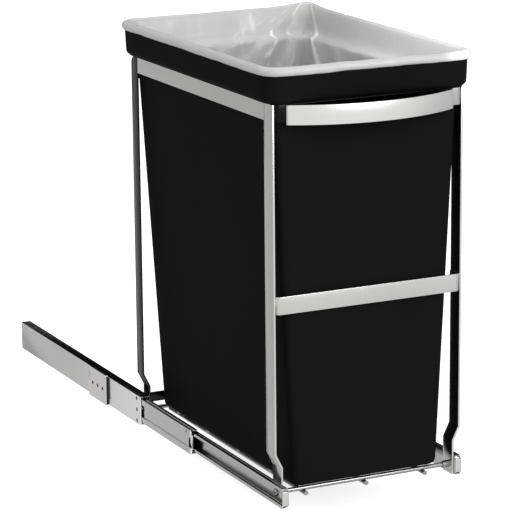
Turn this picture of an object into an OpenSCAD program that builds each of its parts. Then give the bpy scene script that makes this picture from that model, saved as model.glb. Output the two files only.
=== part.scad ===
// Pull-out under-counter waste bin, drawn fully extended from its cabinet.
// A tapered bucket with a film liner hangs in a flat-bar steel frame that runs
// on a pair of three-member ball-bearing slides.
// Working frame: X across, centred on the bin; Y from the front to the back of
// the cabinet; Z up from the underside of the drawer rails. in_frame() moves it
// to the stored frame, whose origin is the left cabinet rail's front screw group.

/* [Frame] */
// Width over the outer faces of the flat-bar frame
frame_w = 226; // [216:1:236]
// Depth of the frame, from the front posts' edge to the rear posts' edge
frame_d = 360; // [340:1:380]
// Height of the frame's top edge above the drawer rails' underside
frame_h = 430; // [380:1:450]
// Thickness of the flat bar
bar_t = 2.2; // [1.8:0.1:2.4]
// Height of the top straps and crossbars
bar_h = 18.6; // [16:0.2:20]
// Width of the front posts, measured front to back
front_post_w = 20; // [18:0.5:22]
// Width of the rear posts, measured front to back
rear_post_w = 16; // [14:0.5:18]
// Height of the lower front band's bottom edge
band_z = 207.5; // [180:0.5:240]

/* [Handle] */
// Distance between the handle's two ends
handle_w = 198; // [180:1:204]
// How far the handle bows out in front of the frame
handle_bow = 29; // [22:1:32]
// Height of the handle band
handle_h = 21; // [18:0.5:21]

/* [Bucket] */
// Half width of the bucket at its bottom
bucket_foot_x = 88; // [86:1:97]
// Rear face of the bucket at its bottom
bucket_foot_y = 346; // [330:1:350]
// Height of the rim band above the frame
rim_h = 37; // [34:1:40]
// Wall thickness of the bucket
wall = 2.4; // [2:0.1:3]

/* [Slides] */
// Length of the cabinet rails
cabinet_rail_len = 380; // [380:1:400]
// Length of the intermediate rails
mid_rail_len = 335; // [325:1:338]
// How far the left drawer rail leads the front posts
left_lead = 16; // [10:1:18]
// How far the right drawer rail leads the front posts
right_lead = 2; // [2:1:10]
// Front end of the intermediate rails when the bin is out
mid_rail_y = 205; // [200:1:210]
// Front end of the cabinet rails
cabinet_rail_y = 342; // [340:1:346]

/* [Hidden] */
$fn = 48;
eps = 0.01;

half_w = frame_w / 2;
rail_mid_z = 11;            // centre line of all slide members
rail_h = 22;                // drawer rail height
sheet = 1.2;                // slide sheet thickness
ball_gap = 2.0;             // gap between two nested members
ball_d = 2.8;
race_r = 1.7;               // radius of the grooves that the balls run in
drawer_depth = 7.5;         // drawer rail, lip to web
step_in = drawer_depth;     // the posts step in to stand behind the drawer rail
mid_h = rail_h + 2 * (ball_gap + sheet);
cab_h = mid_h + 2 * (ball_gap + sheet);
cab_face = half_w + 5;      // outer face of the cabinet rails
cab_depth = 12;
mid_face = cab_face - 1.8;  // outer face of the intermediate rails
mid_depth = 8.7;
step_top_z = 54;            // where the posts start to step in
step_foot_z = 39;           // where the step ends
leg_x = half_w - step_in;   // outer face of the posts' lower legs

tie_z = 10;                 // tie rods and cross wires
wire_d = 5;
tie_front_y = front_post_w / 2;
tie_rear_y = frame_d - rear_post_w / 2;
cross_y = [for (i = [0:3]) 82 + 80 * i];
long_x = [-73, 0, 73];
cross_half = 79;
sleeve_d = 8;
sleeve_len = 7;

ledge_z = frame_h + 0.4;    // underside of the bucket's rim band
rim_z = frame_h + rim_h;
foot_z = tie_z + wire_d / 2 + 0.5;
bag_top_z = rim_z + 2.6;
bag_hem_z = rim_z - 6.5;

hole_y = cabinet_rail_y + 10;
hole_pitch = 13.5;
bracket_y = cabinet_rail_y + 95;
bracket_len = 55;
bracket_h = 37;
bracket_t = 2.5;
bracket_pitch = 15;
screw_hole_r = 2.25;

inner_cage_y = 212;
inner_cage_len = 140;
outer_cage_y = 350;
outer_cage_len = 180;
ball_pitch = 14;

STEEL = [0.80, 0.79, 0.77];
ZINC = [0.74, 0.74, 0.72];
BLACK = [0.06, 0.06, 0.06];
FILM = [0.90, 0.91, 0.92];

// ---- placing -------------------------------------------------------------

module in_frame() { translate([cab_face, -hole_y, -rail_mid_z]) children(); }

// Draws its children for one side: side -1 is the left, which is the drawn one.
module on_side(side) { in_frame() mirror([side > 0 ? 1 : 0, 0, 0]) children(); }

// Extrudes an X-Z outline along Y, from y to y + length.
module along_y(y, length) {
  translate([0, y + length, 0]) rotate([90, 0, 0]) linear_extrude(length) children();
}

// A rod along X between two points at height z.
module rod_x(x0, x1, y, z, d) { translate([x0, y, z]) rotate([0, 90, 0]) cylinder(d = d, h = x1 - x0); }

module rod_y(x, y0, y1, z, d) { translate([x, y1, z]) rotate([90, 0, 0]) cylinder(d = d, h = y1 - y0); }

// ---- slide sections, drawn for the left side with their mouths inwards ------

// A C section whose web's outer face is at x = -face, opening towards the bin.
module c_section(face, depth, height) {
  translate([-face, rail_mid_z - height / 2]) difference() {
    square([depth, height]);
    translate([sheet, sheet]) square([depth, height - 2 * sheet]);
  }
}

// Ball grooves at the given half height, one above and one below the centre line.
module race_cuts(x, half_height) {
  for (s = [-1, 1]) translate([x, rail_mid_z + s * half_height]) circle(r = race_r);
}

// The inner and outer grooves of one flange stand side by side, so neither cuts through.
inner_race_x = -half_w + 3.6;
outer_race_x = -cab_face + 5.2;
inner_race_h = rail_h / 2 + ball_gap / 2;
outer_race_h = mid_h / 2 + ball_gap / 2;

module cabinet_section() {
  difference() {
    c_section(cab_face, cab_depth, cab_h);
    race_cuts(outer_race_x, outer_race_h);
  }
}

module mid_section() {
  recess = 1.6;
  recess_h = 17;
  difference() {
    union() {
      c_section(mid_face, mid_depth, mid_h);
      translate([-mid_face, rail_mid_z - recess_h / 2]) square([sheet + recess, recess_h]);
    }
    translate([-mid_face - eps, rail_mid_z - recess_h / 2 + sheet])
      square([recess + eps, recess_h - 2 * sheet]);
    race_cuts(outer_race_x, outer_race_h);
    race_cuts(inner_race_x, inner_race_h);
  }
}

// The drawer rail opens away from the bin: its web backs onto the posts.
module drawer_section() {
  lip = 2.4;
  translate([-half_w, rail_mid_z - rail_h / 2]) difference() {
    square([drawer_depth, rail_h]);
    translate([sheet, sheet]) square([drawer_depth - 2 * sheet, rail_h - 2 * sheet]);
    translate([-eps, sheet + lip]) square([2 * sheet, rail_h - 2 * (sheet + lip)]);
  }
}

module drawer_section_raced() {
  difference() {
    drawer_section();
    race_cuts(inner_race_x, inner_race_h);
  }
}

// ---- cabinet side ---------------------------------------------------------

// Screw holes through the rail's web: three up the front end and three under the bracket.
module web_holes() {
  for (i = [-1:1]) {
    rod_x(-cab_face - 1, -cab_face + 2 * sheet, hole_y, rail_mid_z + i * hole_pitch, 2 * screw_hole_r);
    rod_x(-cab_face - 1, -cab_face + 2 * sheet, bracket_y + bracket_len / 2 + i * bracket_pitch,
          rail_mid_z, 2 * screw_hole_r);
  }
}

module cabinet_rail(side) {
  color(ZINC) on_side(side) difference() {
    along_y(cabinet_rail_y, cabinet_rail_len) cabinet_section();
    web_holes();
  }
}

module bracket(side) {
  corner = 3;
  y0 = bracket_y;
  color(ZINC) on_side(side) difference() {
    translate([-cab_face - bracket_t, 0, rail_mid_z]) rotate([90, 0, 90]) linear_extrude(bracket_t)
      union() {
        translate([y0 + corner, -bracket_h / 2]) square([bracket_len - 2 * corner, bracket_h]);
        translate([y0, -bracket_h / 2 + corner]) square([bracket_len, bracket_h - 2 * corner]);
        for (y = [y0 + corner, y0 + bracket_len - corner], s = [-1, 1])
          translate([y, s * (bracket_h / 2 - corner)]) circle(r = corner);
      }
    for (i = [-1:1])
      rod_x(-cab_face - bracket_t - 1, -cab_face + 1, y0 + bracket_len / 2 + i * bracket_pitch,
            rail_mid_z, 2 * screw_hole_r);
  }
}

// A rubber block in the back of each cabinet rail stops the slide.
module rear_bumpers() {
  block = 3.5;
  for (side = [-1, 1]) color(BLACK) on_side(side)
    translate([-cab_face + sheet, cabinet_rail_y + cabinet_rail_len - block, rail_mid_z - rail_h / 2])
      cube([cab_depth - sheet - 1, block, rail_h]);
}

// ---- ball cages -----------------------------------------------------------

// Two perforated strips, above and below, that keep the balls of one race pair apart.
module cage(side, x, half_height, y, length, width) {
  strip_t = 0.8;
  count = floor((length - 8) / ball_pitch);
  color(ZINC) on_side(side) for (s = [-1, 1]) difference() {
    translate([x - width / 2, y, rail_mid_z + s * half_height - strip_t / 2]) cube([width, length, strip_t]);
    for (i = [0:count - 1]) translate([x, y + 8 + i * ball_pitch, rail_mid_z + s * half_height - 1])
      cylinder(d = ball_d + 0.3, h = 2);
  }
}

module outer_cage(side) { cage(side, outer_race_x, outer_race_h, outer_cage_y, outer_cage_len, 5); }

module inner_cage(side) { cage(side, inner_race_x, inner_race_h, inner_cage_y, inner_cage_len, 4.6); }

module balls(x, half_height, y, length) {
  count = floor((length - 8) / ball_pitch);
  for (side = [-1, 1]) color(STEEL) on_side(side) for (s = [-1, 1], i = [0:count - 1])
    translate([x, y + 8 + i * ball_pitch, rail_mid_z + s * half_height]) sphere(d = ball_d, $fn = 24);
}

// ---- intermediate rails -----------------------------------------------------

module mid_rail(side) {
  slot_y = mid_rail_y + 7;
  color(ZINC) on_side(side) difference() {
    along_y(mid_rail_y, mid_rail_len) mid_section();
    translate([-mid_face - 1, slot_y - 2, 4]) cube([4, 4, 11]);
    rod_x(-mid_face - 1, -mid_face + 3, mid_rail_y + 12, 21.6, 2.6);
    rod_x(-mid_face - 1, -mid_face + 3, mid_rail_y + 12, 0.4, 2.6);
  }
}

// ---- moving frame -----------------------------------------------------------

module drawer_rail(side) {
  lead = side < 0 ? left_lead : right_lead;
  color(ZINC) on_side(side) difference() {
    along_y(-lead, frame_d + lead) drawer_section_raced();
    for (y = [tie_front_y, tie_rear_y]) rod_x(-half_w + 4, -leg_x + 1, y, tie_z, 4.4);
  }
}

// A folded tab closes the front of each drawer rail.
module rail_end(side) {
  lead = side < 0 ? left_lead : right_lead;
  tab_t = 2;
  inset = 3;
  color(STEEL) on_side(side) translate([-half_w, -lead - tab_t, inset])
    cube([drawer_depth, tab_t, rail_h - 2 * inset]);
}

module frame_screws() {
  head_d = 8.6;
  for (side = [-1, 1], y = [tie_front_y, tie_rear_y]) color(STEEL) on_side(side)
    translate([-leg_x - sheet, y, tie_z]) rotate([0, 90, 0]) difference() {
      union() {
        translate([0, 0, -2.3]) cylinder(d1 = head_d - 2.4, d2 = head_d, h = 1.1);
        translate([0, 0, -1.2 - eps]) cylinder(d = head_d, h = 1.2 + eps);
        translate([0, 0, -eps]) cylinder(d = 4, h = 9);
      }
      for (a = [0, 90]) rotate(a) translate([-2.3, -0.5, -3]) cube([4.6, 1, 1.9]);
    }
}

// Tapped sleeves at each end of the tie rods take the frame screws.
module tie_rods() {
  x = leg_x - bar_t;
  for (y = [tie_front_y, tie_rear_y]) color(STEEL) in_frame() difference() {
    union() {
      rod_x(-x, x, y, tie_z, wire_d);
      rod_x(-x, -x + sleeve_len, y, tie_z, sleeve_d);
      rod_x(x - sleeve_len, x, y, tie_z, sleeve_d);
    }
    for (s = [-1, 1]) rod_x(s * x - 6, s * x + 6, y, tie_z, 4.2);
  }
}

// Outline of a post seen from the front: straight, a step inwards, a short leg.
module post_outline() {
  foot = 0.5;
  polygon([[-half_w, frame_h], [-half_w, step_top_z], [-leg_x, step_foot_z], [-leg_x, foot],
           [-leg_x + bar_t, foot], [-leg_x + bar_t, step_foot_z + 0.5],
           [-half_w + bar_t, step_top_z + 0.5], [-half_w + bar_t, frame_h]]);
}

module front_post(side) {
  color(STEEL) on_side(side) difference() {
    along_y(0, front_post_w) post_outline();
    rod_x(-leg_x - 1, -leg_x + bar_t + 1, tie_front_y, tie_z, 4.4);
  }
}

// The rear post's back top corner is rounded off.
module rear_post(side) {
  corner = 9;
  y0 = frame_d - rear_post_w;
  color(STEEL) on_side(side) difference() {
    along_y(y0, rear_post_w) post_outline();
    rod_x(-leg_x - 1, -leg_x + bar_t + 1, tie_rear_y, tie_z, 4.4);
    translate([-half_w - 1, frame_d - corner, frame_h - corner]) difference() {
      cube([bar_t + 2, corner + 1, corner + 1]);
      rotate([0, 90, 0]) cylinder(r = corner, h = bar_t + 2);
    }
  }
}

// The side strap's back end is rounded where it meets the rear post.
module side_strap(side) {
  y0 = front_post_w;
  y1 = frame_d - rear_post_w;
  color(STEEL) on_side(side) translate([0, 0, frame_h - bar_h]) linear_extrude(bar_h) difference() {
    translate([-half_w, y0]) square([bar_t, y1 - y0]);
    translate([-half_w, y1 - bar_t]) difference() {
      translate([-1, 0]) square([1 + bar_t, bar_t + 1]);
      translate([bar_t, 0]) circle(r = bar_t);
    }
  }
}

// A flat bar bent to a U. It stands just ahead of the posts, its legs between them.
module u_bar(z, height, leg) {
  w = half_w - bar_t;
  bend = 6;
  translate([0, -bar_t, z]) linear_extrude(height) {
    translate([-w + bend, 0]) square([2 * (w - bend), bar_t]);
    for (s = [-1, 1]) {
      translate([s > 0 ? w - bar_t : -w, bend]) square([bar_t, leg - bend]);
      translate([s * (w - bend), bend]) intersection() {
        difference() { circle(r = bend); circle(r = bend - bar_t); }
        translate([s > 0 ? 0 : -bend, -bend]) square(bend);
      }
    }
  }
}

// The crossbar's legs are short, to stay clear of the bucket's rounded corners.
module front_crossbar() { color(STEEL) in_frame() u_bar(frame_h - bar_h, bar_h, 12); }

module front_band() { color(STEEL) in_frame() u_bar(band_z, 19.3, front_post_w); }

// The handle is one arc of flat bar. Each end turns back and is welded to the crossbar.
module pull_handle() {
  t = 1.5;
  bend = 4;
  reach = handle_w / 2 - bend;
  rise = handle_bow - bend;
  r = bend + (reach * reach + rise * rise) / (2 * rise);
  turn = asin(reach / (r - bend));
  far = 2 * r;
  color(STEEL) in_frame() translate([0, -bar_t, frame_h - 0.5 - handle_h]) linear_extrude(handle_h) {
    translate([0, r - handle_bow]) intersection() {
      difference() { circle(r = r, $fn = 180); circle(r = r - t, $fn = 180); }
      polygon([[0, 0], [far * sin(turn), -far * cos(turn)], [-far * sin(turn), -far * cos(turn)]]);
    }
    for (s = [-1, 1]) scale([s, 1]) translate([reach, 0]) intersection() {
      difference() { circle(r = bend); circle(r = bend - t); }
      polygon([[0, 0], [9 * sin(turn), -9 * cos(turn)], [9, -9], [9, 0]]);
    }
  }
}

// It sits below the rear posts' rounded corners.
module rear_crossbar() {
  w = half_w - bar_t;
  color(STEEL) in_frame() translate([-w, frame_d - bar_t, frame_h - bar_h - 9]) cube([2 * w, bar_t, bar_h]);
}

module rear_lower_bar() {
  w = leg_x - bar_t;
  color(STEEL) in_frame() translate([-w, frame_d - bar_t, 15.5]) cube([2 * w, bar_t, 11.5]);
}

// ---- tray -----------------------------------------------------------------

module tray_cross_wires() {
  color(STEEL) in_frame() for (y = cross_y) rod_x(-cross_half, cross_half, y, tie_z, wire_d);
}

module tray_long_wires() {
  overhang = 4.5;
  color(STEEL) in_frame() for (x = long_x)
    rod_y(x, tie_front_y - overhang, tie_rear_y + overhang, tie_z - wire_d, wire_d);
}

// ---- bucket and liner --------------------------------------------------------

// Corners of a rectangle from x = -w to w and from y0 to y1, pulled in by r.
function corners(w, y0, y1, r) = [for (x = [-w + r, w - r], y = [y0 + r, y1 - r]) [x, y]];

// The bucket's tapered body, grown by g on every side, from its foot to the height top.
module tapered_body(g, top) {
  foot_r = 9;
  r = 15;
  mouth_w = half_w - bar_t - 1.2;
  hull() {
    for (c = corners(bucket_foot_x + g, 4 - g, bucket_foot_y + g, foot_r))
      translate([c[0], c[1], foot_z + foot_r - g]) sphere(r = foot_r, $fn = 32);
    for (c = corners(mouth_w + g, 3.4 - g, frame_d - bar_t - 1.2 + g, r)) translate([c[0], c[1], top - 1])
      cylinder(r = r, h = 1, $fn = 32);
  }
}

// A slab with rounded corners, from z0 to z1, that grows by flare towards its top.
module rim_slab(g, z0, z1, flare) {
  r = 20;
  over = 7.6;
  hull() {
    for (c = corners(half_w + over + g, -over - g, frame_d + over + 4 + g, r)) translate([c[0], c[1], z0])
      cylinder(r = r, h = 0.5, $fn = 32);
    for (c = corners(half_w + over + g + flare, -over - g - flare, frame_d + over + 4 + g + flare, r + flare))
      translate([c[0], c[1], z1 - 0.5]) cylinder(r = r + flare, h = 0.5, $fn = 32);
  }
}

flare = 1.6;
rim_slant = 4;              // the rim band steps in at its foot by this much
ledge_t = wall + 1.6;       // thickness of the ledge inside the rim band

module bucket() {
  color(BLACK) in_frame() difference() {
    union() {
      tapered_body(0, ledge_z + 1);
      hull() {
        rim_slab(-rim_slant, ledge_z, ledge_z + 1, 0);
        rim_slab(0, ledge_z + rim_slant, rim_z, flare);
      }
    }
    tapered_body(-wall, ledge_z + ledge_t + 0.1);
    rim_slab(-wall, ledge_z + ledge_t, rim_z + 1, flare);
  }
}

// The liner lines the bucket, folds over its rim and hangs a little way down outside.
module liner_bag() {
  gap = 0.5;
  film = 0.9;
  puff = 3.6;
  fold = 1.6;
  color(FILM) in_frame() difference() {
    union() {
      tapered_body(-wall - gap, ledge_z + ledge_t + 1);
      rim_slab(-wall - gap, ledge_z + ledge_t + gap, bag_top_z, flare);
      rim_slab(puff, bag_hem_z, bag_top_z, flare);
    }
    difference() {
      rim_slab(puff - fold, bag_hem_z - 1, rim_z + gap, flare);
      rim_slab(-wall - gap, bag_hem_z - 2, bag_top_z, flare);
    }
    tapered_body(-wall - gap - film, ledge_z + ledge_t + gap + film + 0.1);
    rim_slab(-wall - gap - film, ledge_z + ledge_t + gap + film, bag_top_z + 1, flare);
  }
}

// ---- what is drawn -----------------------------------------------------------

cabinet_rail(-1);  // cabinet_rail_left
cabinet_rail(1);  // cabinet_rail_right
bracket(-1);  // bracket_left
bracket(1);  // bracket_right
rear_bumpers();
outer_cage(-1);  // outer_cage_left
outer_cage(1);  // outer_cage_right
balls(outer_race_x, outer_race_h, outer_cage_y, outer_cage_len);  // outer_balls
mid_rail(-1);  // mid_rail_left
mid_rail(1);  // mid_rail_right
inner_cage(-1);  // inner_cage_left
inner_cage(1);  // inner_cage_right
balls(inner_race_x, inner_race_h, inner_cage_y, inner_cage_len);  // inner_balls
drawer_rail(-1);  // drawer_rail_left
drawer_rail(1);  // drawer_rail_right
rail_end(-1);  // rail_end_left
rail_end(1);  // rail_end_right
frame_screws();
tie_rods();
front_post(-1);  // front_post_left
front_post(1);  // front_post_right
rear_post(-1);  // rear_post_left
rear_post(1);  // rear_post_right
side_strap(-1);  // side_strap_left
side_strap(1);  // side_strap_right
front_crossbar();
pull_handle();
front_band();
rear_crossbar();
rear_lower_bar();
tray_cross_wires();
tray_long_wires();
bucket();
liner_bag();
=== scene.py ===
import bpy, bmesh, math
from mathutils import Matrix, Vector, noise


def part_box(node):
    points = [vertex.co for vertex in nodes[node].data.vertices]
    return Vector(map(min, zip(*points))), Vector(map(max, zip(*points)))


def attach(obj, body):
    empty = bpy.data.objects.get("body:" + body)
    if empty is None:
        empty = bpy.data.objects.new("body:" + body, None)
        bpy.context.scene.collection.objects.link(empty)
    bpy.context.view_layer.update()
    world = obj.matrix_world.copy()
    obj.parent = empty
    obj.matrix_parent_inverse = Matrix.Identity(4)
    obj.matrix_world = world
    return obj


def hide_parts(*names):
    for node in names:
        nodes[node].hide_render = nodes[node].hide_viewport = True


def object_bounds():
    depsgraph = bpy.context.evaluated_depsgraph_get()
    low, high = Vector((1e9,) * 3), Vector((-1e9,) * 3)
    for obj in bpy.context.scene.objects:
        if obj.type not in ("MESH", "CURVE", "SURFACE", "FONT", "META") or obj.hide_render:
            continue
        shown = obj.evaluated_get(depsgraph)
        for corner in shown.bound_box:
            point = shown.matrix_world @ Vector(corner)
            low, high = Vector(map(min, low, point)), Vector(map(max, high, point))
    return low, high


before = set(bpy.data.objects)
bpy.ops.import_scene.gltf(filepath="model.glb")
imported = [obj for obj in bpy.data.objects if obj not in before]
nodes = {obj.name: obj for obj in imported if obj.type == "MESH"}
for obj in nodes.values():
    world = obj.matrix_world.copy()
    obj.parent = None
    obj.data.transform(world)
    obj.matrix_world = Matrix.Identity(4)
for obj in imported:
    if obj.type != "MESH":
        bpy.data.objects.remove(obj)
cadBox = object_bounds()


class Value:
    def __init__(self, tree, socket):
        self.tree, self.socket = tree, socket

    def make(self, kind, settings=None, inputs=None, output=0):
        node = self.tree.nodes.new("ShaderNode" + kind)
        for key, setting in (settings or {}).items():
            setattr(node, key, setting)
        for key, given in (inputs or {}).items():
            if isinstance(given, Value):
                self.tree.links.new(given.socket, node.inputs[key])
            else:
                node.inputs[key].default_value = given
        return Value(self.tree, node.outputs[output])

    def math(self, operation, *others):
        ends = dict(enumerate((self, *others)))
        return self.make("Math", {"operation": operation}, ends)

    def __add__(self, other):
        return self.math("ADD", other)

    __radd__ = __add__

    def __sub__(self, other):
        return self.math("SUBTRACT", other)

    def __rsub__(self, other):
        return self.make("Math", {"operation": "SUBTRACT"}, {0: other, 1: self})

    def __mul__(self, other):
        return self.math("MULTIPLY", other)

    __rmul__ = __mul__

    def __truediv__(self, other):
        return self.math("DIVIDE", other)

    def __rtruediv__(self, other):
        return self.make("Math", {"operation": "DIVIDE"}, {0: other, 1: self})

    def between(self, low, high):
        return self.make("MapRange", {"interpolation_type": "SMOOTHSTEP"},
                         {"Value": self, "From Min": low, "From Max": high})


def axisOf(start, place, axis):
    return start.make("SeparateXYZ", {}, {"Vector": place}, axis)


def mixed(start, mask, under, over):
    return start.make("Mix", {"data_type": "RGBA"}, {0: mask, 6: under, 7: over}, 2)


def bumped(start, height, strength, distance):
    return start.make("Bump", {}, {"Strength": strength, "Distance": distance, "Height": height})


def newMaterial(name, metallic=0.0, **sockets):
    mat = bpy.data.materials.new(name)
    mat.use_nodes = True
    tree = mat.node_tree
    shader = tree.nodes["Principled BSDF"]
    shader.inputs["Metallic"].default_value = metallic
    for key, given in sockets.items():
        shader.inputs[key.replace("_", " ")].default_value = given
    start = Value(tree, None)
    place = start.make("TexCoord", output=3)
    return mat, start, place, shader


def feed(start, shader, **links):
    for key, given in links.items():
        start.tree.links.new(given.socket, shader.inputs[key.replace("_", " ")])


def stretched(start, place, scale):
    return start.make("Mapping", {}, {"Vector": place, "Scale": scale})


def speckle(start, at, scale, detail=3.0, rough=0.5):
    inputs = {"Vector": at, "Scale": scale, "Detail": detail, "Roughness": rough}
    return start.make("TexNoise", {}, inputs)


def tinted(start, dark, light, mask):
    return mixed(start, mask, (*dark, 1), (*light, 1))


# painted light bands: past low along the axis, up to high, the colour turns to the given painted highlight
# colour where it is light, painted shade where it is dark
# faces: those that look along the axis, on the side of the sign, take a painted shade
metals = {
    "frameSteel": dict(tone=(0.61, 0.585, 0.56), grain=(40, 40, 900), rough=(0.13, 0.24), bump=0.05),
    # painted shade: the rear posts are the frame's steel painted nearly black
    "rearPostSteelPaintedShade": dict(tone=(0.055, 0.050, 0.049), grain=(40, 40, 900), rough=(0.15, 0.26), bump=0.05),
    "bandSteel": dict(tone=(0.58, 0.56, 0.54), grain=(900, 40, 40), rough=(0.16, 0.28), bump=0.05),
    "handleSteel": dict(tone=(0.72, 0.695, 0.675), grain=(30, 30, 1100), rough=(0.18, 0.30), bump=0.06),
    # painted highlight: the cabinet rails are lighter towards the front; painted shade: their top faces
    # are near black
    "railSteel": dict(tone=(0.70, 0.675, 0.66), grain=(700, 14, 700), rough=(0.17, 0.28), bump=0.10,
                      paintedLightBands=((1, 0.22, 0.0, (1.0, 0.98, 0.96)),),
                      faces=((2, 1.0, (0.004, 0.004, 0.004)),)),
    # painted shade: the drawer rails' top faces are painted dark
    "drawerSteel": dict(tone=(0.60, 0.575, 0.555), grain=(700, 14, 700), rough=(0.17, 0.28), bump=0.10,
                        faces=((2, 1.0, (0.05, 0.045, 0.045)),)),
    # painted shade: the end tabs' top faces are painted dark
    "tabSteel": dict(tone=(0.60, 0.58, 0.565), grain=(700, 14, 700), rough=(0.17, 0.28), bump=0.10,
                     faces=((2, 1.0, (0.02, 0.02, 0.02)),)),
    # painted shade: the middle rails are darker where they run into the cabinet rails; painted highlight:
    # their front ends are lighter
    "midRailSteel": dict(tone=(0.66, 0.635, 0.615), grain=(700, 14, 700), rough=(0.17, 0.28), bump=0.10,
                         paintedLightBands=((1, -0.010, -0.004, (0.02, 0.02, 0.02)),
                                (1, -0.1425, -0.1440, (1.0, 0.99, 0.98)))),
    # painted shade: the brackets' front faces are painted near black
    "bracketSteel": dict(tone=(0.84, 0.81, 0.79), grain=(700, 14, 700), rough=(0.17, 0.28), bump=0.10,
                         faces=((1, -1.0, (0.03, 0.03, 0.03)),)),
    # painted shadow: the crossbar's steel is painted darker, and near black left of the handle's right
    # end, where the handle shades it
    "crossbarSteelPaintedShadow": dict(tone=(0.46, 0.44, 0.43), grain=(900, 40, 40), rough=(0.16, 0.28), bump=0.05,
                          paintedLightBands=((0, 0.2170, 0.2150, (0.012, 0.011, 0.011)),)),
    "wireSteel": dict(tone=(0.34, 0.325, 0.315), grain=(120, 120, 120), rough=(0.12, 0.22), bump=0.04),
    # painted shade: the rear lower bar is steel painted nearly black
    "rearBarSteelPaintedShade": dict(tone=(0.022, 0.020, 0.019), grain=(900, 40, 40), rough=(0.18, 0.28), bump=0.05),
    "screwSteel": dict(tone=(0.30, 0.285, 0.275), grain=(300, 300, 300), rough=(0.16, 0.30), bump=0.08),
    "cageSteel": dict(tone=(0.46, 0.45, 0.44), grain=(300, 40, 300), rough=(0.25, 0.40), bump=0.08),
}


def metal(name):
    look = metals[name]
    mat, start, place, shader = newMaterial(name, metallic=1.0)
    grain = speckle(start, stretched(start, place, look["grain"]), 1.0, 4.0, 0.6)
    cloud = speckle(start, place, 9.0, 2.0)
    wear = speckle(start, place, 55.0, 5.0, 0.65).between(0.56, 0.74)
    tone = Vector(look["tone"])
    mask = cloud * 0.75 + grain * 0.25
    colour = tinted(start, tone * 0.88, tone * 1.10, mask)
    low, high = look["rough"]
    rough = low + (high - low) * (grain * 0.6 + cloud * 0.4) + wear * 0.05
    # painted light: bands along an axis and faces looking one way turn the colour to a painted highlight
    # or a painted shade
    for axis, low, high, paintedLight in look.get("paintedLightBands", ()):
        along = axisOf(start, place, axis)
        mask = along.between(low, high) if low < high else 1.0 - along.between(high, low)
        colour = mixed(start, mask, colour, (*paintedLight, 1))
    for axis, sign, paintedLight in look.get("faces", ()):
        facing = axisOf(start, start.make("TexCoord", output=1), axis) * sign
        colour = mixed(start, facing.between(0.75, 0.92), colour, (*paintedLight, 1))
    bump = bumped(start, grain, look["bump"], 0.0002)
    feed(start, shader, Base_Color=colour, Roughness=rough, Normal=bump)
    return mat


metalOf = {name: metal(name) for name in metals}
print("metals made")


plastic = dict(dark=(0.0060, 0.0051, 0.0047), light=(0.0102, 0.0087, 0.0080), grainScale=950.0)


def bucketPlastic():
    mat, start, place, shader = newMaterial("bucketPlastic", IOR=1.035)
    smudge = speckle(start, place, 7.0, 3.0)
    grain = speckle(start, place, plastic["grainScale"], 2.0)
    flow = speckle(start, stretched(start, place, (14, 14, 3)), 1.0, 3.0)
    colour = tinted(start, plastic["dark"], plastic["light"], smudge * 0.6 + flow * 0.4)
    rough = 0.27 + smudge * 0.13 + grain * 0.05
    bump = bumped(start, grain + flow * 0.4, 0.12, 0.0003)
    feed(start, shader, Base_Color=colour, Roughness=rough, Normal=bump)
    return mat


def bumperRubber():
    mat, start, place, shader = newMaterial("bumperRubber")
    grain = speckle(start, place, 600.0, 4.0)
    colour = tinted(start, (0.012, 0.012, 0.012), (0.030, 0.029, 0.028), grain)
    bump = bumped(start, grain, 0.3, 0.0003)
    feed(start, shader, Base_Color=colour, Roughness=0.6 + grain * 0.2, Normal=bump)
    return mat


film = dict(
    # above and below the ledge: the film's colour, below it in painted shade; paintedHighlight: the colour
    # of painted highlights
    above=(0.46, 0.446, 0.432), below=(0.455, 0.432, 0.418), paintedHighlight=(0.92, 0.905, 0.89),
    ledgeZ=0.4235, foldDepth=0.0022,
    # corner of the mouth, how fine its creases are, how far they spread
    rear=((0.228, 0.009, 0.463), 2.2, 2.6),
    left=((0.008, 0.009, 0.463), 2.6, 1.6),
    near=((0.228, -0.350, 0.463), 2.6, 1.6))


def foldsFrom(start, place, corner, finer, spread):
    # creases that run out from a corner of the mouth, strongest beside it
    x, y, z = (axisOf(start, place, axis) for axis in range(3))
    alongX = (x - corner[0]).math("ABSOLUTE")
    alongY = (y - corner[1]).math("ABSOLUTE")
    down = (corner[2] - z).math("MAXIMUM", 0.0) + 0.010
    slope = (alongX + alongY) / down
    parts = {"X": slope * finer, "Y": alongX * 30.0, "Z": down * 3.0}
    turned = start.make("CombineXYZ", {}, parts)
    creases = speckle(start, turned, 1.0, 4.0, 0.55)
    return creases, 1.0 - slope.between(spread * 0.35, spread)


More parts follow.
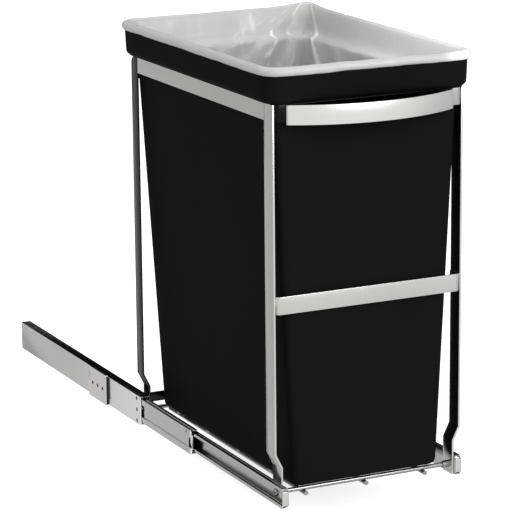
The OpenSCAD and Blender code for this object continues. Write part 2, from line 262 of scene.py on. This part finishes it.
def linerFilm():
    mat, start, place, shader = newMaterial("linerFilm", Specular_IOR_Level=0.45, Coat_Roughness=0.2)
    across, along, height = (axisOf(start, place, axis) for axis in range(3))
    wave = speckle(start, place, 16.0, 2.0)
    crease = speckle(start, stretched(start, place, (60, 60, 10)), 1.0, 5.0, 0.6)
    rear, rearMask = foldsFrom(start, place, *film["rear"])
    left, leftMask = foldsFrom(start, place, *film["left"])
    near, nearMask = foldsFrom(start, place, *film["near"])
    folds = crease * 0.35 + rear * rearMask + left * leftMask * 0.8 + near * nearMask * 0.7
    waved = height + (wave - 0.5) * 0.006
    lit = waved.between(film["ledgeZ"] - 0.001, film["ledgeZ"] + 0.0015)
    # painted highlight: bright streaks along the folds fanning from the rear corner and along some creases
    streak = rear.between(0.53, 0.66) * rearMask * 0.75 + crease.between(0.60, 0.74) * 0.20
    # painted shade: below the ledge the film is painted a little darker and more mottled, for the black
    # wall behind it
    below, above = Vector(film["below"]), Vector(film["above"])
    paintedShadeBelowLedge = tinted(start, below * 0.84, below * 1.16, crease)
    clear = tinted(start, above * 0.92, above * 1.08, crease)
    plain = mixed(start, lit, paintedShadeBelowLedge, clear)
    # painted light: the right wall above the ledge is painted brighter
    paintedLightRightWall = across.between(0.195, 0.222) * (1.0 - across.between(0.2360, 0.2395)) * lit
    paintedLightRightWall = paintedLightRightWall * (1.0 - along.between(-0.30, -0.02)) * 0.85
    colour = mixed(start, streak.math("MAXIMUM", paintedLightRightWall), plain, (*film["paintedHighlight"], 1))
    bump = bumped(start, folds, 0.6, film["foldDepth"])
    feed(start, shader, Base_Color=colour, Roughness=0.26 + crease * 0.22,
         Coat_Weight=crease.between(0.45, 0.7) * 0.4, Normal=bump)
    return mat


def setMaterial(obj, mat):
    obj.data.materials.clear()
    obj.data.materials.append(mat)


def finish(bm, name, mat, body, replaced, sharpAngle=38.0):
    mesh = bpy.data.meshes.new(name)
    bm.to_mesh(mesh)
    bm.free()
    obj = bpy.data.objects.new(name, mesh)
    bpy.context.scene.collection.objects.link(obj)
    for face in mesh.polygons:
        face.use_smooth = True
    mesh.set_sharp_from_angle(angle=math.radians(sharpAngle))
    setMaterial(obj, mat)
    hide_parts(*replaced)
    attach(obj, body)
    return obj


def softened(node, mat, body, width, shortest):
    bm = bmesh.new()
    bm.from_mesh(nodes[node].data)
    bmesh.ops.remove_doubles(bm, verts=bm.verts, dist=2e-6)
    bmesh.ops.dissolve_limit(bm, angle_limit=math.radians(0.6), verts=bm.verts, edges=bm.edges)
    edges = [edge for edge in bm.edges if len(edge.link_faces) == 2
             and edge.calc_length() > shortest and edge.calc_face_angle(0) > math.radians(35)]
    bmesh.ops.bevel(bm, geom=edges, offset=width, affect="EDGES", segments=2, profile=0.5,
                    material=-1, clamp_overlap=False)
    bmesh.ops.remove_doubles(bm, verts=bm.verts, dist=1e-6)
    bmesh.ops.dissolve_degenerate(bm, edges=bm.edges, dist=1e-6)
    return finish(bm, node + "_edged", mat, body, [node])


sides = ("left", "right")
edging = [
    # pieces, metal, slot, body, edge radius, shortest edge rounded
    (["front_post_" + s for s in sides], "frameSteel", "frame_steel", "basket", 0.00035, 0.0012),
    (["rear_post_" + s for s in sides], "rearPostSteelPaintedShade", "frame_steel", "basket", 0.00035, 0.0012),
    (["side_strap_" + s for s in sides], "frameSteel", "frame_steel", "basket", 0.00035, 0.0),
    (["front_crossbar"], "crossbarSteelPaintedShadow", "frame_steel", "basket", 0.00035, 0.0),
    (["front_band", "rear_crossbar"], "bandSteel", "frame_steel", "basket", 0.00035, 0.0),
    (["rear_lower_bar"], "rearBarSteelPaintedShade", "frame_steel", "basket", 0.00035, 0.0),
    (["pull_handle"], "handleSteel", "frame_steel", "basket", 0.0005, 0.0),
    (["cabinet_rail_" + s for s in sides], "railSteel", "slide_steel", "cabinet_rails", 0.0002, 0.004),
    (["bracket_" + s for s in sides], "bracketSteel", "slide_steel", "cabinet_rails", 0.0003, 0.004),
    (["mid_rail_" + s for s in sides], "midRailSteel", "slide_steel", "intermediate_rails", 0.0002, 0.004),
    (["drawer_rail_" + s for s in sides], "drawerSteel", "slide_steel", "basket", 0.00045, 0.004),
    (["rail_end_" + s for s in sides], "tabSteel", "slide_steel", "basket", 0.0005, 0.0),
]
for names, metalName, slotName, body, width, shortest in edging:
    for name in names:
        softened(name, metalOf[metalName], body, width, shortest)
print("bars and rails edged")

# nodes that keep their own shape
kept = {
    "wireSteel": ("tie_rods", "tray_cross_wires", "tray_long_wires", "outer_balls", "inner_balls"),
    "screwSteel": ("frame_screws",),
    "cageSteel": ("outer_cage_left", "outer_cage_right", "inner_cage_left", "inner_cage_right"),
}
for metalName, names in kept.items():
    for name in names:
        setMaterial(nodes[name], metalOf[metalName])
setMaterial(nodes["rear_bumpers"], bumperRubber())


def ringShape(bm, centre, half, radius, along, around):
    # a rectangle with rounded corners, its sides cut into short edges
    bmesh.ops.create_grid(bm, x_segments=1, y_segments=1, size=1.0)
    bmesh.ops.scale(bm, vec=(half[0], half[1], 1), verts=bm.verts)
    bmesh.ops.bevel(bm, geom=list(bm.verts), offset=radius, affect="VERTICES", segments=around,
                    profile=0.5, material=-1)
    longEdges = [edge for edge in bm.edges if edge.calc_length() > 3 * radius]
    bmesh.ops.subdivide_edges(bm, edges=longEdges, cuts=along)
    bmesh.ops.translate(bm, vec=centre, verts=bm.verts)


def ringPlace(point, was, now):
    # moves a point of one ring's outline to the same place on another's
    wasHalf, wasCentre, wasRadius = was
    half, centre, radius, z = now
    inner, outer = [], []
    for axis in (0, 1):
        offset = point[axis] - wasCentre[axis]
        edge = wasHalf[axis] - wasRadius
        clipped = max(-edge, min(edge, offset))
        inner.append(clipped / edge * (half[axis] - radius))
        outer.append(offset - clipped)
    turn = Vector(outer)
    if turn.length > 1e-7:
        turn = turn.normalized() * radius
    return Vector((centre[0] + inner[0] + turn.x, centre[1] + inner[1] + turn.y, z))


def loft(rings, along, around, capEnd=True):
    # rings: (half width, front y, rear y, corner radius, z), joined in order
    bm = bmesh.new()
    halfX, front, rear, radius, z = rings[0]
    half, centre = (halfX, (rear - front) / 2), (midX, (front + rear) / 2, z)
    ringShape(bm, centre, half, radius, along, around)
    firstRing = (half, centre, radius)
    origin = {v: v.co.copy() for v in bm.verts}
    ring = [edge for edge in bm.edges if edge.is_boundary]
    for halfX, front, rear, radius, z in rings[1:]:
        made = bmesh.ops.extrude_edge_only(bm, edges=ring)["geom"]
        newVerts = [item for item in made if isinstance(item, bmesh.types.BMVert)]
        ring = [item for item in made if isinstance(item, bmesh.types.BMEdge) and item.is_boundary]
        now = ((halfX, (rear - front) / 2), (midX, (front + rear) / 2), radius, z)
        nextOrigin = {}
        for v in newVerts:
            others = (edge.other_vert(v) for edge in v.link_edges)
            nextOrigin[v] = next(origin[other] for other in others if other in origin)
            v.co = ringPlace(nextOrigin[v], firstRing, now)
        origin = nextOrigin
    if capEnd:
        bmesh.ops.contextual_create(bm, geom=ring)
    bmesh.ops.recalc_face_normals(bm, faces=bm.faces)
    return bm


lowBucket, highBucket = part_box("bucket")
midX = (lowBucket.x + highBucket.x) / 2
frameFront = -0.352        # the posts' front edge
railFoot = -0.011          # the drawer rails' underside


def at(y):
    return y / 1000 + frameFront


def up(z):
    return z / 1000 + railFoot


# lengths in mm; foot, mouth and skirt are half width, front, rear and corner radius
bucketShape = dict(
    foot=(88.0, 3.4, 346.0, 9.0), footZ=13.0, fillet=7.5,
    mouth=(109.6, 3.4, 356.6, 15.0), ledgeZ=430.4,
    skirt=(120.6, -7.6, 371.6, 20.0), rimFlare=1.6, rimSlant=4.0, ledge=4.0, rimZ=467.0, wall=2.4)


def bodyRing(share, grow, z, radius):
    # a share of the way from the foot to the mouth, grown outwards
    footX, footFront, footRear, _ = bucketShape["foot"]
    mouthX, mouthFront, mouthRear, _ = bucketShape["mouth"]
    halfX = footX + (mouthX - footX) * share + grow
    front = footFront + (mouthFront - footFront) * share - grow
    rear = footRear + (mouthRear - footRear) * share + grow
    return halfX / 1000, at(front), at(rear), radius / 1000, up(z)


def skirtRing(grow, z, turn):
    # the rim band's outline, grown outwards, its corners by the turn's share
    halfX, front, rear, radius = bucketShape["skirt"]
    return (halfX + grow) / 1000, at(front - grow), at(rear + grow), (radius + grow * turn) / 1000, up(z)


def bucketRings():
    shape = bucketShape
    rings = []
    wall, fillet, slant, flare = (shape[key] for key in ("wall", "fillet", "rimSlant", "rimFlare"))
    footZ, ledgeZ, rimZ = shape["footZ"], shape["ledgeZ"], shape["rimZ"]
    floorZ = ledgeZ + shape["ledge"]
    footRadius = shape["foot"][3]

    def body(share, grow, z):
        rings.append(bodyRing(share, grow, z, max(4.0, footRadius + grow * 0.5)))

    def skirt(grow, z):
        rings.append(skirtRing(grow, z, 1.0))

    for step in range(7):
        angle = math.radians(90 * step / 6)
        body(0, -fillet * (1 - math.sin(angle)), footZ + fillet * (1 - math.cos(angle)))
    for share in (0.25, 0.5, 0.75, 1.0):
        body(share, 0, footZ + fillet + (ledgeZ - footZ - fillet) * share)
    underside = ((-slant - 1.2, 0.0), (-slant, 0.2), (-slant + 0.6, 0.9),
                 (-0.5, slant - 0.3), (0.0, slant + 0.7))
    for grow, lift in underside:
        skirt(grow, ledgeZ + lift)
    for share in (0.25, 0.6, 0.93):
        skirt(flare * share, ledgeZ + (rimZ - ledgeZ) * share)
    for grow, drop in ((1.5, 0.9), (1.0, 0.25), (0.1, 0.0), (-0.9, 0.4), (-wall + flare, 1.6)):
        skirt(grow, rimZ - drop)
    skirt(-wall, floorZ + 1.5)
    skirt(-wall - 0.5, floorZ + 0.3)
    skirt(-wall - 1.6, floorZ)
    body(1, -wall, floorZ - 0.2)
    body(1, -wall, floorZ - 1.2)
    body(0, -wall, footZ + fillet)
    for step in range(1, 5):
        angle = math.radians(90 * step / 4)
        body(0, -wall - fillet * (1 - math.cos(angle)) * 0.9,
             footZ + wall + (fillet - wall) * (1 - math.sin(angle)))
    return rings


finish(loft(bucketRings(), 24, 10), "bucket_shell", bucketPlastic(), "bucket_and_liner",
       ["bucket"], 32.0)
print("bucket made")


# the film folds over the rim and gathers into the corners; gap, film and lift in mm, flat size in m
liner = dict(
    gap=0.7, film=0.45, lift=2.4, cornerRadius=13.0, flatAround=1.24, flatLong=0.60,
    # outwards and down from the top of the roll over the rim
    roll=((-4.2, 2.4), (-3.3, 0.9), (-2.0, 0.15), (-0.4, 0.0), (1.2, 0.25), (2.6, 0.9), (3.8, 2.1),
          (4.5, 3.7), (4.7, 5.4), (4.4, 7.0), (3.7, 8.2), (2.9, 8.8)),
    # spread, count, phase and amount of the folds from each corner
    rearRight=(1.5, 7.0, 0.4, 1.0), rearLeft=(1.2, 6.0, 2.0, 0.7),
    frontRight=(1.2, 6.0, 1.1, 0.6), frontLeft=(1.2, 6.0, 0.0, 0.6))


def linerRings():
    shape = bucketShape
    rings = []
    wall, footZ, ledgeZ, rimZ = (shape[key] for key in ("wall", "footZ", "ledgeZ", "rimZ"))
    inset = wall + liner["gap"] + liner["film"]

    def body(share, grow, z):
        rings.append(bodyRing(share, grow, z, liner["cornerRadius"]))

    def skirt(grow, z):
        rings.append(skirtRing(grow, z, 0.8))

    body(0, -inset - 8, footZ + wall + 3.4)
    body(0, -inset - 2.5, footZ + wall + 6.0)
    body(0, -inset - 0.5, footZ + wall + 11.0)
    for share in [0.08 * step for step in range(1, 11)] + [0.86, 0.90, 0.94, 0.97, 0.99]:
        body(share, -inset - 0.4, footZ + (ledgeZ - footZ) * share + 3.4)
    body(1, -inset - 0.4, ledgeZ + 2.5)
    body(1, -inset + 0.1, ledgeZ + shape["ledge"] + 1.3)
    skirt(-10.0, ledgeZ + 7.5)
    for share in (0.12, 0.30, 0.50, 0.70, 0.85):
        skirt(-7.6 + 3.2 * share, ledgeZ + 9.5 + (rimZ - ledgeZ - 11) * share)
    for grow, drop in liner["roll"]:
        skirt(grow, rimZ + liner["lift"] - drop)
    return rings


def cornerFan(p, corner, spread, count, phase):
    # folds that fan out from a top corner of the mouth
    across = math.hypot(p.x - corner.x, p.y - corner.y)
    down = max(0.0, corner.z - p.z) + 0.012
    slope = across / down
    fade = math.exp(-slope / spread)
    side = 1.0 if (p.x - corner.x) * (p.y - corner.y) > 0 else 0.6
    signed = slope * (1 if abs(p.x - corner.x) > abs(p.y - corner.y) else -1)
    wave = math.sin(signed * count + phase)
    finer = math.sin(signed * count * 2.3 + phase * 1.7)
    return side * fade * (wave + 0.45 * finer)


def gatherFilm(bm):
    skirtX, skirtFront, skirtRear, _ = bucketShape["skirt"]
    ledgeTop, rimZ = up(bucketShape["ledgeZ"]), bucketShape["rimZ"]
    rimTop = up(rimZ + 1)
    left, right = midX - (skirtX - 9) / 1000, midX + (skirtX - 9) / 1000
    front, rear = at(skirtFront + 9), at(skirtRear - 9)
    corners = [(Vector((right, rear, rimTop)), *liner["rearRight"]),
               (Vector((left, rear, rimTop)), *liner["rearLeft"]),
               (Vector((right, front, rimTop)), *liner["frontRight"]),
               (Vector((left, front, rimTop)), *liner["frontLeft"])]
    midY = (front + rear) / 2
    for v in bm.verts:
        p = v.co.copy()
        inward = (Vector((midX, midY, p.z)) - p).normalized()
        beyond = (abs(p.x - midX) > (skirtX - 2) / 1000
                  or p.y < at(skirtFront + 2) or p.y > at(skirtRear - 2))
        if p.z > up(rimZ - 4):
            # the rear right corner is pulled up and outwards
            pinch = math.exp(-math.hypot(p.x - right, p.y - rear) / 0.014)
            v.co += Vector((0.0035, 0.0035, 0.0050)) * pinch
        if p.z > ledgeTop and beyond:
            broad = noise.noise(Vector((p.x * 34, p.y * 34, 3.1)))
            ripple = broad * 0.7 + noise.noise(p * 90) * 0.35
            v.co.z += ripple * 0.0009
            v.co += inward * (abs(ripple) * 0.0007 + 0.0003)
            continue
        below = min(1.0, max(0.0, (rimTop - p.z) / 0.03))
        push = 0.0
        for corner, spread, count, phase, amount in corners:
            push += amount * cornerFan(p, corner, spread, count, phase)
        billow = noise.noise(Vector((p.x * 9, p.y * 9, p.z * 5))) + 0.5 * noise.noise(p * 24)
        streak = noise.noise(Vector((p.x * 46, p.y * 46, p.z * 6)))
        depth = 0.0032 * push + 0.0022 * billow + 0.0016 * streak
        v.co += inward * (max(0.0, depth + 0.0022) * below)


bm = loft(linerRings(), 46, 9, capEnd=False)
coarse = [edge for edge in bm.edges if edge.calc_length() > 0.012]
bmesh.ops.subdivide_edges(bm, edges=coarse, cuts=1, use_grid_fill=True)
gatherFilm(bm)
bmesh.ops.smooth_vert(bm, verts=[v for v in bm.verts if not v.is_boundary], factor=0.35,
                      use_axis_x=True, use_axis_y=True, use_axis_z=True)
bag = finish(bm, "liner_film", linerFilm(), "bucket_and_liner",
             ["liner_bag"], 180.0)
thick = bag.modifiers.new("film", "SOLIDIFY")
thick.thickness = liner["film"] / 1000
thick.offset = 0.0
print("liner made")


def plainMaterial(name, colour, rough):
    mat, start, place, shader = newMaterial(name, Roughness=rough, Specular_IOR_Level=0.1)
    soft = speckle(start, place, 2.0, 1.0)
    feed(start, shader, Base_Color=tinted(start, Vector(colour) * 0.99, Vector(colour), soft))
    return mat


def panel(name, centre, facing, width, height, mat):
    bm = bmesh.new()
    bmesh.ops.create_grid(bm, x_segments=1, y_segments=1, size=0.5)
    bmesh.ops.scale(bm, vec=(width, height, 1), verts=bm.verts)
    turn = Vector(facing).to_track_quat("Z", "Y").to_matrix().to_4x4()
    bmesh.ops.transform(bm, matrix=Matrix.Translation(centre) @ turn, verts=bm.verts)
    mesh = bpy.data.meshes.new(name)
    bm.to_mesh(mesh)
    bm.free()
    obj = bpy.data.objects.new(name, mesh)
    bpy.context.scene.collection.objects.link(obj)
    setMaterial(obj, mat)
    return obj


stage = dict(floorDrop=0.03, side=0.62, ahead=0.42, floorGlow=0.80, top=18.0, front=26.0, left=5.0)
floorPaint = plainMaterial("floorPaint", (0.60, 0.60, 0.60), 0.8)
floorShader = floorPaint.node_tree.nodes["Principled BSDF"]
floorShader.inputs["Emission Color"].default_value = (1, 1, 1, 1)
floorShader.inputs["Emission Strength"].default_value = stage["floorGlow"]
floor = panel("floor", (0.1, 0, cadBox[0].z - stage["floorDrop"]), (0, 0, 1), 30, 30, floorPaint)
floor.visible_glossy = floor.visible_diffuse = False

# a dark card behind, which only polished surfaces see
card = panel("darkCard", (0.80, 1.35, 0.60), (-0.425, -0.872, -0.1), 2.6, 1.1,
             plainMaterial("darkCardPaint", (0.01,) * 3, 0.9))
card.visible_camera = card.visible_diffuse = card.visible_shadow = False

world = bpy.data.worlds.new("studio")
bpy.context.scene.world = world
world.use_nodes = True
# the room is brighter in front than at the sides
room = Value(world.node_tree, None)
background = world.node_tree.nodes["Background"]
ahead = axisOf(room, room.make("TexCoord"), 1)
level = stage["side"] + (-1.0 * ahead).between(-0.1, 0.9) * stage["ahead"]
room.tree.links.new(level.socket, background.inputs["Strength"])
background.inputs["Color"].default_value = (1, 0.995, 0.985, 1)


def softbox(name, centre, target, size, power):
    light = bpy.data.lights.new(name, "AREA")
    light.shape = "RECTANGLE"
    light.size, light.size_y = size
    light.energy = power
    obj = bpy.data.objects.new(name, light)
    obj.location = centre
    obj.rotation_euler = (Vector(target) - Vector(centre)).to_track_quat("-Z", "Y").to_euler()
    bpy.context.scene.collection.objects.link(obj)


aim = Vector((0.118, -0.132, 0.229))
softbox("topBox", (0.0, -0.1, 2.3), aim, (2.2, 2.2), stage["top"])
softbox("frontBox", (0.7, -2.4, 1.2), aim, (1.2, 1.0), stage["front"])
softbox("leftBox", (-1.7, 0.1, 1.5), aim, (1.0, 1.0), stage["left"])

# angles in degrees, offset and distance from the aim in m, lens in mm
view = dict(
    azimuth=-26.09, elevation=13.76, roll=-0.51,
    offset=(-0.0224, -0.0282), distance=3.002, lens=187.0)
azimuth, elevation, roll = (math.radians(view[key]) for key in ("azimuth", "elevation", "roll"))
back = Vector((math.sin(azimuth) * math.cos(elevation),
               -math.cos(azimuth) * math.cos(elevation), math.sin(elevation)))
flatRight = (-back).cross(Vector((0, 0, 1))).normalized()
flatUp = flatRight.cross(-back)
right = flatRight * math.cos(roll) + flatUp * math.sin(roll)
upward = flatUp * math.cos(roll) - flatRight * math.sin(roll)
lens = bpy.data.cameras.new("camera")
lens.lens = view["lens"]
lens.sensor_width = 36.0
lens.clip_end = 60.0
camera = bpy.data.objects.new("camera", lens)
bpy.context.scene.collection.objects.link(camera)
offsetX, offsetY = view["offset"]
spot = aim + right * offsetX + upward * offsetY + back * view["distance"]
camera.matrix_world = Matrix.Translation(spot) @ Matrix((right, upward, back)).transposed().to_4x4()
bpy.context.scene.camera = camera
bpy.context.scene.view_settings.view_transform = "Standard"
print("stage and camera set")
